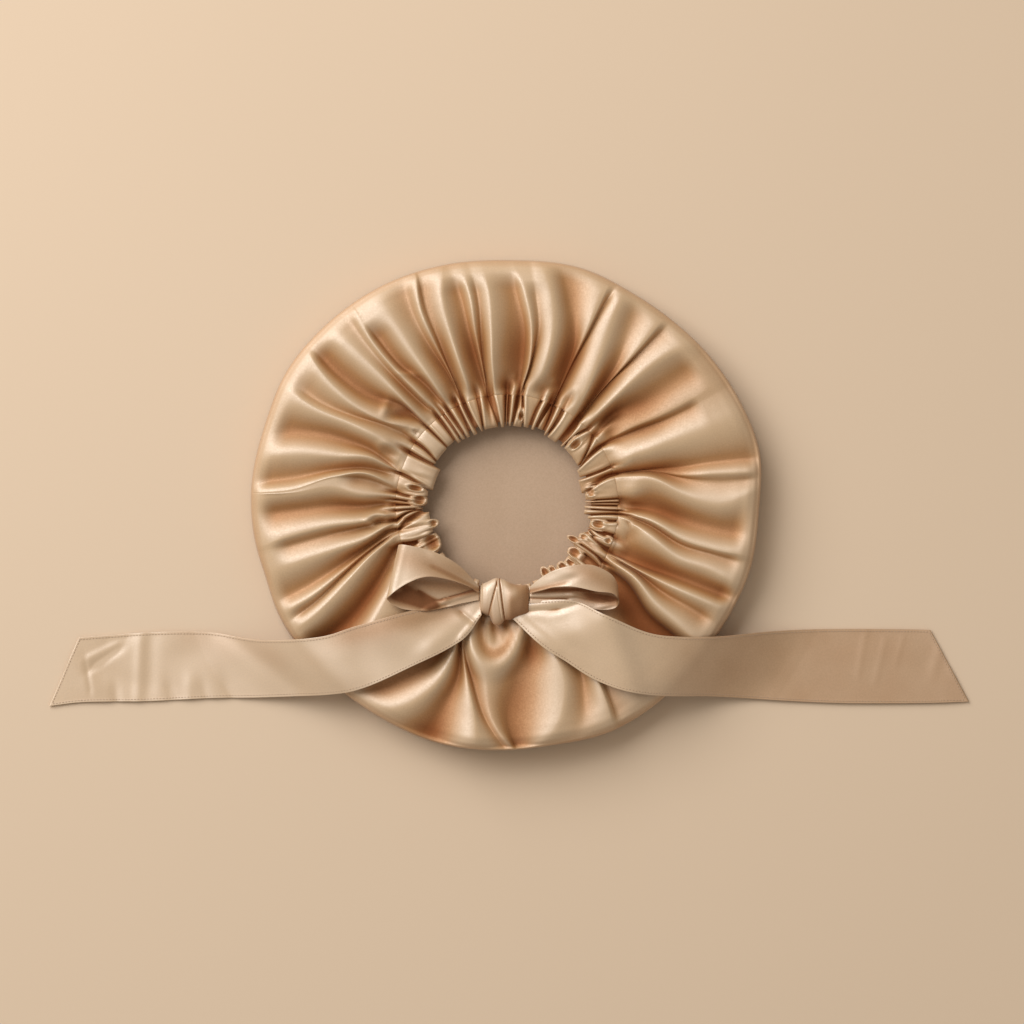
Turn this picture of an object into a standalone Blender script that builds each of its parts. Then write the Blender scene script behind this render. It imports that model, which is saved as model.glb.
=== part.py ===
"""A satin sleep bonnet lying on its back, with its ribbon tied in a bow on the band.

The crown is two panels sewn together round the rim: a flat base and a gathered upper panel that
puffs up in folds. The folds run into an elastic casing round the head opening. The frame is in
metres, +Z up, with the origin on the table under the middle of the whole object, ribbon included.
"""

import math

import bmesh
import bpy
import numpy as np

MM = 0.001
CROWN_X, CROWN_Y = -1.3, -0.5  # middle of the head opening, in mm like every size below

WALL = 1.2  # satin panel with its seam allowance
RIBBON_WALL = 1.0
GAP = 0.35  # between pieces that touch

# Outline of the crown: the rim's radius at an angle counted from +X towards +Y.
RIM = [
    # angle, radius
    (0, 168.0), (12, 172.0), (24, 170.2), (36, 168.0), (50, 165.3), (60, 164.7),
    (72, 166.0), (90, 163.7), (103, 165.6), (120, 168.7), (136, 170.7), (149, 172.0),
    (160, 170.2), (178, 170.7), (188, 169.5), (196, 167.7), (205, 168.5), (222, 166.0),
    (240, 164.3), (254, 164.4), (268, 162.7), (280, 162.0), (294, 165.3), (312, 165.0),
    (331, 164.7), (345, 167.3),
]

SEAM_RADIUS = 74.0  # line of stitches between crown and casing
LIP = 1.0  # the base panel's edge shows this far outside the upper panel
RIM_HEIGHT = 4.8

# The upper panel from the band (0) to the rim (1): how high its ridges stand and which share of
# a fold's full depth is left there.
PUFF = [
    # place, ridge height, share of depth
    (0.00, 20.5, 0.40), (0.08, 24.0, 0.75), (0.22, 29.0, 1.00), (0.40, 31.0, 1.00),
    (0.60, 29.6, 0.90), (0.76, 25.6, 0.70), (0.88, 18.8, 0.45), (0.955, 11.8, 0.22),
    (1.00, RIM_HEIGHT, 0.00),
]

# Each fold of the upper panel, in degrees: where its ridge runs at four radii, then the share of
# the way to the next ridge at which the valley lies, the valley's depth in mm, and how much the
# valley is a crease (1) and not a soft trough (0).
FOLD_RADII = (73.0, 100.0, 133.0, 160.0)
FOLDS = [
    # at band, inner, outer, rim, valley, depth, crease
    (15.0, 12.0, 6.0, 4.5, 0.38, 9.0, 0.8),
    (27.0, 23.5, 21.0, 20.0, 0.52, 10.0, 0.5),
    (46.0, 45.0, 42.5, 38.5, 0.38, 8.0, 0.9),
    (56.0, 58.5, 59.5, 59.5, 0.35, 8.0, 0.9),
    (79.0, 76.5, 79.0, 83.0, 0.52, 10.0, 0.4),
    (94.0, 94.5, 94.5, 96.5, 0.60, 9.0, 0.4),
    (107.5, 108.5, 107.5, 105.5, 0.38, 7.0, 1.0),
    (118.0, 118.8, 120.0, 120.5, 0.35, 8.0, 0.9),
    (133.0, 133.0, 133.0, 131.5, 0.38, 9.0, 0.7),
    (141.0, 144.0, 146.0, 143.0, 0.50, 5.0, 0.3),
    (153.0, 152.8, 154.0, 154.0, 0.52, 9.0, 0.6),
    (163.5, 161.0, 165.0, 168.0, 0.66, 7.0, 0.7),
    (172.0, 171.0, 175.5, 177.0, 0.58, 8.0, 0.4),
    (182.5, 185.0, 187.0, 188.5, 0.42, 6.0, 0.5),
    (188.5, 193.0, 195.0, 196.0, 0.42, 7.0, 0.5),
    (196.0, 201.0, 208.0, 210.0, 0.40, 11.0, 0.6),
    (209.0, 216.0, 223.0, 225.0, 0.50, 8.0, 0.4),
    (240.0, 244.0, 245.0, 240.0, 0.55, 6.0, 0.5),
    (249.0, 254.0, 258.0, 257.5, 0.48, 6.0, 0.4),
    (263.0, 264.5, 268.0, 268.0, 0.55, 6.0, 0.3),
    (283.0, 285.0, 280.0, 277.0, 0.50, 7.0, 0.4),
    (294.0, 296.0, 297.0, 294.5, 0.38, 6.0, 0.9),
    (304.0, 306.0, 305.5, 304.5, 0.62, 12.0, 0.5),
    (327.0, 326.0, 323.0, 321.5, 0.45, 6.0, 0.6),
    (335.0, 334.0, 333.5, 332.5, 0.38, 8.0, 0.8),
    (349.0, 346.0, 342.0, 340.0, 0.55, 5.0, 0.3),
    (358.5, 354.0, 349.5, 349.0, 0.40, 9.0, 0.5),
]
ROWS_ON_PANEL = 10

# Base panel: flat on the table, then turned up to the rim.
BASE_RINGS = [
    # place from the middle (0) to the rim (1), height of its underside
    (0.30, 0.0), (0.62, 0.0), (0.86, 0.0), (0.94, 0.7), (1.00, RIM_HEIGHT - WALL - 1.9 * GAP),
]
BASE_SIDES = 72

# Elastic casing: a flattened ring with narrow pleats over the elastic.
CASING_INNER, CASING_OUTER = 51.5, SEAM_RADIUS - 1.4 * GAP
CASING_HEIGHT_INNER, CASING_HEIGHT_OUTER = 16.0, 18.2  # of its middle line
CASING_THICK = 5.2
PLEATS = 60
PLEAT_DEPTH_TOP, PLEAT_DEPTH_EDGE = 1.5, 2.2
CASING_SECTION_SIDES = 8

# Knot: ribbon wrapped round the neck of the bow.
KNOT_MIDDLE = (-3.0, -63.4, 27.8)
KNOT_HALF = (16.3, 15.6, 7.6)
KNOT_SQUARENESS = 0.78
KNOT_GROOVES = [
    # x at the near end, x at the far end, depth, half width
    (-9.5, -3.5, 1.5, 2.2), (-0.5, -5.5, 1.5, 2.2),
]

# Bow loops: the ribbon's two edges from the knot, out, round the end and back under.
LOOP_LEFT = [
    # back edge x, y, z, front edge x, y, z
    (-20.0, -54.0, 31.5, -20.0, -58.5, 32.0),
    (-30.5, -41.5, 35.5, -29.0, -52.5, 37.0),
    (-41.0, -33.1, 39.5, -44.7, -48.8, 41.0),
    (-54.0, -28.5, 41.0, -58.0, -48.5, 42.5),
    (-66.0, -26.0, 40.5, -70.5, -53.0, 42.0),
    (-71.5, -26.5, 38.0, -79.0, -59.5, 39.5),
    (-71.0, -28.5, 34.5, -79.5, -62.5, 35.5),
    (-65.0, -32.0, 31.0, -70.0, -67.0, 33.0),
    (-54.0, -36.0, 28.5, -58.0, -69.5, 32.0),
    (-41.0, -42.0, 26.8, -46.0, -69.5, 30.4),
    (-30.0, -50.0, 26.3, -33.0, -66.0, 29.0),
    (-20.0, -58.0, 27.2, -20.0, -62.5, 28.2),
]
LOOP_RIGHT = [
    # back edge x, y, z, front edge x, y, z
    (14.0, -54.0, 31.5, 14.0, -58.0, 32.0),
    (20.0, -47.5, 34.5, 21.0, -54.5, 36.0),
    (30.0, -43.0, 38.5, 31.0, -53.2, 40.0),
    (42.0, -40.0, 40.5, 44.0, -55.0, 42.0),
    (54.0, -39.0, 41.0, 57.0, -57.0, 42.5),
    (65.0, -43.5, 39.5, 68.0, -58.0, 41.5),
    (70.5, -50.0, 36.5, 72.5, -61.5, 38.5),
    (70.0, -53.0, 33.2, 71.5, -66.5, 34.8),
    (60.0, -52.0, 30.5, 61.5, -69.8, 32.2),
    (45.0, -52.0, 28.4, 46.0, -68.5, 30.2),
    (30.0, -54.0, 27.4, 30.0, -65.0, 28.8),
    (14.0, -58.0, 27.2, 14.0, -62.0, 28.2),
]
LOOP_STEPS, LOOP_CELLS_ACROSS = 26, 4

# Ribbon tails: the ribbon's upper and lower edge in plan, from the knot to the slanted end.
TAIL_LEFT = [
    # upper edge x, y, lower edge x, y
    (-20.3, -61.8, -18.6, -72.5),
    (-38.0, -68.5, -32.0, -89.1),
    (-62.7, -69.1, -62.7, -105.1),
    (-99.7, -79.1, -93.0, -119.0),
    (-124.7, -86.5, -118.0, -124.5),
    (-165.3, -89.1, -165.3, -127.8),
    (-200.0, -84.5, -200.0, -128.5),
    (-235.3, -84.5, -240.0, -130.5),
    (-264.0, -86.5, -282.0, -131.1),
    (-286.7, -88.1, -306.4, -133.8),
]
TAIL_RIGHT = [
    # upper edge x, y, lower edge x, y
    (15.6, -65.4, 8.2, -80.6),
    (42.0, -62.5, 20.0, -91.0),
    (62.0, -71.1, 36.0, -101.5),
    (90.0, -83.1, 59.0, -115.5),
    (112.0, -86.3, 90.0, -124.0),
    (140.0, -86.3, 134.0, -126.5),
    (175.0, -83.7, 177.0, -129.8),
    (213.0, -82.5, 221.0, -131.8),
    (260.0, -82.6, 274.0, -131.8),
    (280.7, -83.1, 306.4, -130.9),
]
TAIL_STEPS, TAIL_CELLS_ACROSS = 34, 4

# How high a tail's underside lies at a distance inside (+) or outside (-) the rim.
DRAPE = [
    # distance, height
    (-34.0, 0.0), (-30.0, 0.2), (-18.0, 4.2), (-6.0, 12.0), (6.0, 19.6), (18.0, 25.6),
    (34.0, 30.0), (54.0, 31.6), (70.0, 30.2), (84.0, 27.0), (100.0, 25.2),
]


def through(table, column, place, period=None):
    """The value of a column at a place, on a smooth curve through the table's rows."""
    places = np.array([row[0] for row in table], float)
    values = np.array([row[column] for row in table], float)
    if period:
        places = np.concatenate([places[-2:] - period, places, places[:2] + period])
        values = np.concatenate([values[-2:], values, values[:2]])
        place = place % period
    slopes = np.gradient(values, places)
    place = min(max(place, places[0]), places[-1])
    i = min(int(np.searchsorted(places, place, side="right")) - 1, len(places) - 2)
    step = places[i + 1] - places[i]
    t = (place - places[i]) / step
    return (
        (1 + 2 * t) * (1 - t) ** 2 * values[i]
        + t * (1 - t) ** 2 * step * slopes[i]
        + t * t * (3 - 2 * t) * values[i + 1]
        - t * t * (1 - t) * step * slopes[i + 1]
    )


def rim_radius(angle):
    return through(RIM, 1, angle, period=360)


def on_crown(radius, angle, height):
    """A point given by its distance and angle from the middle of the opening."""
    turn = math.radians(angle)
    return (
        (CROWN_X + radius * math.cos(turn)) * MM,
        (CROWN_Y + radius * math.sin(turn)) * MM,
        height * MM,
    )


def satin(name, color, roughness):
    material = bpy.data.materials.new(name)
    material.use_nodes = True
    shader = material.node_tree.nodes["Principled BSDF"]
    shader.inputs["Base Color"].default_value = (*color, 1)
    shader.inputs["Roughness"].default_value = roughness
    shader.inputs["Metallic"].default_value = 0.3
    return material


def new_object(name, mesh_builder, material):
    mesh = bpy.data.meshes.new(name)
    mesh_builder.to_mesh(mesh)
    mesh_builder.free()
    mesh.materials.append(material)
    mesh.shade_smooth()
    piece = bpy.data.objects.new(name, mesh)
    bpy.context.scene.collection.objects.link(piece)
    return piece


def grid(rows, closed_across=False, closed_along=False):
    """A mesh over rows of points; a closed direction joins its last points to its first."""
    mesh_builder = bmesh.new()
    rows = [[mesh_builder.verts.new(point) for point in row] for row in rows]
    pairs = list(zip(rows, rows[1:]))
    if closed_along:
        pairs.append((rows[-1], rows[0]))
    for row, after in pairs:
        for i in range(len(row) - (not closed_across)):
            j = (i + 1) % len(row)
            mesh_builder.faces.new((row[i], row[j], after[j], after[i]))
    return mesh_builder, rows


def thicken(piece, wall, side):
    """Give a sheet its wall: side -1 adds it behind the faces, +1 in front of them."""
    solidify = piece.modifiers.new("wall", "SOLIDIFY")
    solidify.thickness = wall * MM
    solidify.offset = side
    solidify.use_even_offset = True
    solidify.thickness_clamp = 1.0
    return piece


def fold_columns(radius, place):
    """Angles and heights round one ring of the upper panel: ridge, flank, valley, flank."""
    ridge_height = through(PUFF, 1, place)
    depth_share = through(PUFF, 2, place)
    ridges = [
        through(list(zip(FOLD_RADII, fold[:4])), 1, radius) for fold in FOLDS
    ]
    columns = []
    for k, (*_, share, depth, crease) in enumerate(FOLDS):
        here = ridges[k]
        after = ridges[k + 1] if k + 1 < len(FOLDS) else ridges[0] + 360
        valley = here + share * (after - here)
        drop = depth * depth_share
        on_flank = ridge_height - drop * (0.5 - 0.18 * crease)
        columns += [
            (here, ridge_height),
            ((here + valley) / 2, on_flank),
            (valley, ridge_height - drop),
            ((valley + after) / 2, on_flank),
        ]
    return columns


def make_crown_upper(material):
    rows = []
    for i in range(ROWS_ON_PANEL + 1):
        # Rows lie closer together near the rim, where the panel turns down.
        place = 1 - (1 - i / ROWS_ON_PANEL) ** 1.35
        radius = SEAM_RADIUS + place * (rim_radius(90) - SEAM_RADIUS)
        rows.append(
            [
                on_crown(
                    SEAM_RADIUS + place * (rim_radius(angle) - LIP - SEAM_RADIUS),
                    angle,
                    height,
                )
                for angle, height in fold_columns(radius, place)
            ]
        )
    mesh_builder, _ = grid(rows[::-1], closed_across=True)
    return thicken(new_object("crown_upper", mesh_builder, material), WALL, -1)


def make_crown_base(material):
    angles = [360 * i / BASE_SIDES for i in range(BASE_SIDES)]
    rows = [
        [on_crown(place * rim_radius(angle), angle, height) for angle in angles]
        for place, height in BASE_RINGS
    ]
    mesh_builder, rings = grid(rows[::-1], closed_across=True)
    middle = mesh_builder.verts.new(on_crown(0, 0, 0))
    inner = rings[-1]
    for i in range(BASE_SIDES):
        mesh_builder.faces.new((middle, inner[i], inner[(i + 1) % BASE_SIDES]))
    return thicken(new_object("crown_base", mesh_builder, material), WALL, 1)


def make_band_casing(material):
    middle_radius = (CASING_INNER + CASING_OUTER) / 2
    half_width = (CASING_OUTER - CASING_INNER) / 2
    rise = (CASING_HEIGHT_OUTER - CASING_HEIGHT_INNER) / 2
    middle_height = (CASING_HEIGHT_OUTER + CASING_HEIGHT_INNER) / 2
    rows = []
    for side in range(CASING_SECTION_SIDES):
        turn = 2 * math.pi * side / CASING_SECTION_SIDES
        across, up = math.cos(turn), math.sin(turn)
        # A flattened oval, blunter than an ellipse because the elastic fills it.
        across = math.copysign(abs(across) ** 0.8, across)
        up = math.copysign(abs(up) ** 0.8, up)
        row = []
        for i in range(2 * PLEATS):
            pleat = 1 if i % 2 else 0
            inward = max(-across, 0) * PLEAT_DEPTH_EDGE * pleat
            sink = up * PLEAT_DEPTH_TOP * pleat
            radius = middle_radius + across * half_width + inward
            height = middle_height + across * rise + up * CASING_THICK / 2 - sink
            row.append(on_crown(radius, 180 * i / PLEATS, height))
        rows.append(row)
    mesh_builder, _ = grid(rows, closed_across=True, closed_along=True)
    return new_object("band_casing", mesh_builder, material)


def make_knot(material):
    mesh_builder = bmesh.new()
    bmesh.ops.create_uvsphere(mesh_builder, u_segments=24, v_segments=14, radius=1)
    for vert in mesh_builder.verts:
        x, y, z = (
            math.copysign(abs(part) ** KNOT_SQUARENESS, part) * half
            for part, half in zip(vert.co, KNOT_HALF)
        )
        for near, far, depth, half_width in KNOT_GROOVES:
            along = (y / KNOT_HALF[1] + 1) / 2
            off = (x - near - along * (far - near)) / half_width
            z -= math.copysign(depth * math.exp(-off * off), z) if abs(z) > depth else 0
        vert.co = [(a + b) * MM for a, b in zip((x, y, z), KNOT_MIDDLE)]
    return new_object("knot", mesh_builder, material)


def strip(edges, steps, cells, height=None):
    """Rows of points across a ribbon whose edges pass through a table of stations."""
    size = len(edges[0]) // 2
    table = [(i, *row) for i, row in enumerate(edges)]
    rows = []
    for i in range(steps + 1):
        place = (len(edges) - 1) * i / steps
        ends = np.array([through(table, 1 + c, place) for c in range(2 * size)])
        row = []
        for j in range(cells + 1):
            point = ends[:size] + (ends[size:] - ends[:size]) * j / cells
            if height:
                point = (*point, height(point[0], point[1]))
            row.append([value * MM for value in point])
        rows.append(row)
    return rows


def drape_height(x, y):
    """Height at which a tail's underside lies over the crown's ridges and on the table."""
    angle = math.degrees(math.atan2(y - CROWN_Y, x - CROWN_X))
    inside = rim_radius(angle) - math.hypot(x - CROWN_X, y - CROWN_Y)
    return max(0.0, through(DRAPE, 1, inside))


def make_loop(name, edges, side, material):
    mesh_builder, _ = grid(strip(edges, LOOP_STEPS, LOOP_CELLS_ACROSS))
    return thicken(new_object(name, mesh_builder, material), RIBBON_WALL, side)


def make_tail(name, edges, side, material):
    rows = strip(edges, TAIL_STEPS, TAIL_CELLS_ACROSS, drape_height)
    mesh_builder, _ = grid(rows)
    return thicken(new_object(name, mesh_builder, material), RIBBON_WALL, side)


for leftover in list(bpy.data.objects):
    bpy.data.objects.remove(leftover)

CROWN_SATIN = satin("crown_satin", (0.62, 0.42, 0.26), 0.34)
CASING_SATIN = satin("casing_satin", (0.55, 0.36, 0.22), 0.38)
RIBBON_SATIN = satin("ribbon_satin", (0.60, 0.42, 0.28), 0.42)

make_crown_base(CROWN_SATIN)
make_crown_upper(CROWN_SATIN)
make_band_casing(CASING_SATIN)
make_knot(RIBBON_SATIN)
make_loop("loop_left", LOOP_LEFT, 1, RIBBON_SATIN)
make_loop("loop_right", LOOP_RIGHT, -1, RIBBON_SATIN)
make_tail("tail_left", TAIL_LEFT, -1, RIBBON_SATIN)
make_tail("tail_right", TAIL_RIGHT, 1, RIBBON_SATIN)
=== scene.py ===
"""A satin sleep bonnet lying on a table, with its ribbon tied in a bow on the band."""

import math

import bmesh
import bpy
import numpy as np
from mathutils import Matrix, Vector


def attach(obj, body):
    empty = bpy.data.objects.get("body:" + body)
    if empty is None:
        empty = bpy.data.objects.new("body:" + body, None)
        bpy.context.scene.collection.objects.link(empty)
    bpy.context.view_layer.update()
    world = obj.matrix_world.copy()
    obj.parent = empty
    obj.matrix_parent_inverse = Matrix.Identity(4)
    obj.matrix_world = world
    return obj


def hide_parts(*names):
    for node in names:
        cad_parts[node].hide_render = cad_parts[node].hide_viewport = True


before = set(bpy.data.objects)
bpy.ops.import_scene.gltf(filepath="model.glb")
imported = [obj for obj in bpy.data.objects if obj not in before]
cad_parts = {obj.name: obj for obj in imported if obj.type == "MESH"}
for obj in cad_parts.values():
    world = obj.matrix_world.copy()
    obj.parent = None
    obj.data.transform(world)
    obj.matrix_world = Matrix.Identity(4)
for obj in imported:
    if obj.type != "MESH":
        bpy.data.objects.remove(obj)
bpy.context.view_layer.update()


# ---------------------------------------------------------------- base panel
# The lower of the crown's two panels: a disc of polyester satin, dull side up, that lies
# flat on the table. It shows through the head opening, and its edge turns up all round the
# rim, where it is sewn to the upper panel and shows as a thin lip.

MM = 0.001
CROWN_MIDDLE = (-1.3, -0.5)  # of the head opening, in mm like every size below
RIM = [
    # angle from +X towards +Y, radius of the crown's outline
    (0, 168), (12, 172), (24, 170.2), (36, 168), (50, 165.3), (60, 164.7),
    (72, 166), (90, 163.7), (103, 165.6), (120, 168.7), (136, 170.7), (149, 172),
    (160, 170.2), (178, 170.7), (188, 169.5), (196, 167.7), (205, 168.5), (222, 166),
    (240, 164.3), (254, 164.4), (268, 162.7), (280, 162), (294, 165.3), (312, 165),
    (331, 164.7), (345, 167.3),
]
RIM_HEIGHT = 4.8  # of the seam round the rim
PANEL_WALL = 1.1  # thickness of both panels
BASE_PROFILE = [
    # place from the middle (0) to the rim (1), height of the underside
    (0.0, 0.0), (0.45, 0.0), (0.80, 0.0), (0.88, 0.15), (0.94, 0.8), (0.975, 1.7), (1.0, 2.9),
]
NOISE_CELLS = 64  # after which soft noise repeats


def through(places, values, where, period=None):
    """Values at where, on a smooth curve through the given places."""
    places, values = np.asarray(places, float), np.asarray(values, float)
    if period:
        places = np.concatenate([places[-3:] - period, places, places[:3] + period])
        values = np.concatenate([values[-3:], values, values[:3]])
        where = np.mod(where, period)
    slopes = np.gradient(values, places)
    where = np.clip(where, places[0], places[-1])
    i = np.clip(np.searchsorted(places, where, side="right") - 1, 0, len(places) - 2)
    step = places[i + 1] - places[i]
    t = (where - places[i]) / step
    return (
        (1 + 2 * t) * (1 - t) ** 2 * values[i]
        + t * (1 - t) ** 2 * step * slopes[i]
        + t * t * (3 - 2 * t) * values[i + 1]
        - t * t * (1 - t) * step * slopes[i + 1]
    )


def column(table, number):
    return [row[number] for row in table]


def from_table(table, number, where, period=None):
    """A column of a table at where in its first column."""
    return through(column(table, 0), column(table, number), where, period)


def rim_radius(angle):
    return from_table(RIM, 1, angle, period=360)


def round_crown(radius, angle, height):
    """Points given by their distance and angle from the middle of the opening."""
    turn = np.radians(angle)
    x = CROWN_MIDDLE[0] + radius * np.cos(turn)
    y = CROWN_MIDDLE[1] + radius * np.sin(turn)
    return np.stack(np.broadcast_arrays(x, y, height), axis=-1)


def ripple(x, y, seed, around=NOISE_CELLS):
    """Soft noise from -1 to 1, about one swell to each unit of x and of y."""
    swells = np.random.RandomState(seed).uniform(-1, 1, (around, NOISE_CELLS))
    i, j = np.floor(x).astype(int), np.floor(y).astype(int)
    u, v = x - i, y - j
    u, v = u * u * (3 - 2 * u), v * v * (3 - 2 * v)
    i1, j1 = (i + 1) % around, (j + 1) % NOISE_CELLS
    i, j = i % around, j % NOISE_CELLS
    near = swells[i, j] * (1 - u) + swells[i1, j] * u
    far = swells[i, j1] * (1 - u) + swells[i1, j1] * u
    return near * (1 - v) + far * v


def placed(name, data):
    """A new object in the scene."""
    thing = bpy.data.objects.new(name, data)
    bpy.context.scene.collection.objects.link(thing)
    return thing


def cloth(name, points, material, closed_round=False, closed_along=False, wall=None, shade=None):
    """A cloth piece over rows of points in mm; wall, in mm, thickens it behind its faces."""
    rows, columns = points.shape[:2]
    numbers = np.arange(rows * columns).reshape(rows, columns)
    if closed_round:
        numbers = np.concatenate([numbers, numbers[:, :1]], axis=1)
    if closed_along:
        numbers = np.concatenate([numbers, numbers[:1]], axis=0)
    faces = np.stack(
        [numbers[:-1, :-1], numbers[:-1, 1:], numbers[1:, 1:], numbers[1:, :-1]], axis=-1
    )
    mesh = bpy.data.meshes.new(name)
    mesh.from_pydata((points.reshape(-1, 3) * MM).tolist(), [], faces.reshape(-1, 4).tolist())
    # The painted shade is stored on the mesh for its material to read.
    if shade is not None:
        painted_shade = mesh.attributes.new("painted_shade", "FLOAT", "POINT")
        painted_shade.data.foreach_set("value", np.clip(shade, 0, 1).ravel().astype(np.float32))
    rows_on, columns_on = faces.shape[:2]
    row, step = np.mgrid[0:rows_on, 0:columns_on][:, :, :, None] + np.array(
        [[[[0, 0, 1, 1]]], [[[0, 1, 1, 0]]]]
    )
    weave_run = mesh.uv_layers.new(name="weave_run")
    weave_run.data.foreach_set(
        "uv", np.stack([step / columns_on, row / rows_on], axis=-1).ravel().astype(np.float32)
    )
    mesh.materials.append(material)
    mesh.shade_smooth()
    piece = placed(name, mesh)
    if wall:
        thicken = piece.modifiers.new("wall", "SOLIDIFY")
        thicken.thickness = abs(wall) * MM
        thicken.offset = -1 if wall > 0 else 1
    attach(piece, "root")
    return piece


DYE_AND_SHADE_STOPS = (0.08, 0.45, 1.0)  # where along the painted fold shade satin takes its own colour and its two shaded colours
UNEVEN_DYE = 0.16  # how much deeper the colour is in some patches
CREST_TINT, FOLD_TINT = 0.05, 0.75  # share of the gloss that takes the colour of the thread, on a crest and where fold shade is painted
FOLD_DULLNESS = 0.45  # roughness added down in a fold
GLOSSIER, DULLER = 0.05, 0.06  # how far single threads differ in roughness
THREAD_TINT = (0.76, 0.74, 0.70, 1)  # what darkens single threads


def dial(node, **settings):
    """Sets a node's sockets by name, with _ for a blank, or links them to other nodes."""
    for socket, value in settings.items():
        entry = node.inputs[socket.replace("_", " ")]
        if isinstance(value, bpy.types.NodeSocket):
            node.id_data.links.new(value, entry)
        else:
            entry.default_value = value


def satin(name, colours, roughness, spread=0.6, turn=0.25):
    """Satin: a long-thread weave, with painted shade that makes it deeper in colour, and duller, down in
    its folds.

    Its threads spread the gloss along the rows of its mesh, or across them at a turn of 0.25.
    """
    material = bpy.data.materials.new(name)
    material.use_nodes = True
    nodes, links = material.node_tree.nodes, material.node_tree.links
    shader = nodes["Principled BSDF"]
    dial(shader, IOR=2.5, Anisotropic=spread, Sheen_Weight=0.08, Sheen_Roughness=0.4)
    if spread:
        threads_run = nodes.new("ShaderNodeTangent")
        threads_run.direction_type = "UV_MAP"
        threads_run.uv_map = "weave_run"
        dial(shader, Anisotropic_Rotation=turn, Tangent=threads_run.outputs["Tangent"])

    fold = nodes.new("ShaderNodeAttribute")
    fold.attribute_name = "painted_shade"
    painted_shade = fold.outputs["Fac"]
    place = nodes.new("ShaderNodeTexCoord").outputs["Object"]
    noises = []
    for scale, detail in ((38, 4), (1000, 3)):
        noise = nodes.new("ShaderNodeTexNoise")
        dial(noise, Vector=place, Scale=scale, Detail=detail)
        noises.append(noise.outputs["Fac"])
    uneven, threads = noises

    # Painted fold shade, with uneven patches of colour, sets where the colour ramp stands.
    depth = nodes.new("ShaderNodeMath")
    depth.operation = "MULTIPLY_ADD"
    depth.inputs[1].default_value = UNEVEN_DYE
    links.new(uneven, depth.inputs[0])
    links.new(painted_shade, depth.inputs[2])
    colour_and_shade_ramp = nodes.new("ShaderNodeValToRGB")
    colour_and_shade_ramp.color_ramp.elements.new(0.5)
    for stop, position, colour in zip(colour_and_shade_ramp.color_ramp.elements, DYE_AND_SHADE_STOPS, colours):
        stop.position = position
        stop.color = (*colour, 1)
    dial(colour_and_shade_ramp, Fac=depth.outputs[0])
    fleck = nodes.new("ShaderNodeMix")
    fleck.data_type = "RGBA"
    fleck.blend_type = "MULTIPLY"
    dial(fleck, Factor=threads, A=colour_and_shade_ramp.outputs["Color"], B=THREAD_TINT)

    # Where fold shade is painted, the gloss takes more of the thread's colour too.
    tinted = nodes.new("ShaderNodeMapRange")
    dial(tinted, Value=painted_shade, From_Max=0.8, To_Min=CREST_TINT, To_Max=FOLD_TINT)
    gloss = nodes.new("ShaderNodeMapRange")
    dial(gloss, Value=threads, From_Min=0.3, From_Max=0.7)
    dial(gloss, To_Min=roughness - GLOSSIER, To_Max=roughness + DULLER)
    dull = nodes.new("ShaderNodeMath")
    dull.operation = "MULTIPLY_ADD"
    dull.use_clamp = True
    dull.inputs[1].default_value = FOLD_DULLNESS
    links.new(painted_shade, dull.inputs[0])
    links.new(gloss.outputs["Result"], dull.inputs[2])
    relief = nodes.new("ShaderNodeBump")
    dial(relief, Height=threads, Strength=0.13, Distance=0.0004)

    dial(shader, Base_Color=fleck.outputs["Result"], Metallic=tinted.outputs["Result"])
    dial(shader, Roughness=dull.outputs[0], Normal=relief.outputs["Normal"])
    return material


INSIDE_COLOURS = [(0.49, 0.30, 0.16), (0.45, 0.255, 0.125), (0.38, 0.195, 0.09)]
WAVE_HEIGHT, WAVE_WIDTH, WAVE_LENGTH = 0.45, 23, 31  # of the slight waves it lies in
WAVES_END, WAVES_FADE = 0.9, 0.3  # place where they end, and over which they fade
inside_satin = satin("inside_satin", INSIDE_COLOURS, roughness=0.66, spread=0)
angles = np.arange(0, 360, 1.5)
places = np.concatenate([np.linspace(0, 0.8, 36), np.linspace(0.83, 1, 14)])[:, None]
heights = from_table(BASE_PROFILE, 1, places)
points = round_crown(places * rim_radius(angles), angles, heights)
swell = ripple(points[..., 0] / WAVE_WIDTH + 30, points[..., 1] / WAVE_LENGTH + 30, 3)
points[..., 2] += WAVE_HEIGHT * (swell + 1) * np.clip((WAVES_END - places) / WAVES_FADE, 0, 1)
base = cloth("base_panel", points[::-1], inside_satin, closed_round=True, wall=-PANEL_WALL)
middle = bmesh.new()
middle.from_mesh(base.data)
bmesh.ops.remove_doubles(middle, verts=middle.verts, dist=0.01 * MM)
middle.to_mesh(base.data)
middle.free()
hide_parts("crown_base")


# ---------------------------------------------------------------- the casing
# The tunnel round the head opening: crown satin turned over and stitched down on itself,
# with an elastic inside that draws it into flat pleats. They lean, overlap and end in
# small flutes over the opening.

SEAM_RADIUS = 74.0  # line of stitches between crown and casing
CASING_INNER, CASING_OUTER = 52.5, SEAM_RADIUS + 0.2
CASING_SECTION = [
    # across from the seam (0) to the inner edge (1), height of the top, of the underside,
    # share of the pleats' relief
    (0.00, 17.8, 17.8, 0.9), (0.01, 19.0, 17.2, 0.9), (0.03, 19.9, 16.6, 0.95),
    (0.07, 20.3, 15.8, 1.0), (0.16, 20.6, 15.0, 1.0), (0.30, 20.6, 14.6, 1.0),
    (0.50, 20.2, 14.0, 1.0), (0.70, 19.4, 13.6, 1.0), (0.86, 18.3, 13.4, 0.9),
    (0.95, 17.0, 13.5, 0.7), (1.00, 15.2, 15.2, 0.4),
]
CASING_SIDES, CASING_CELLS = 44, 1620  # of the mesh, round the tunnel and round the opening
LEAST_HEIGHT = 0.3  # between the tunnel's upper and lower side
MM_A_DEGREE = 1.1  # round the middle of the casing
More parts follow.
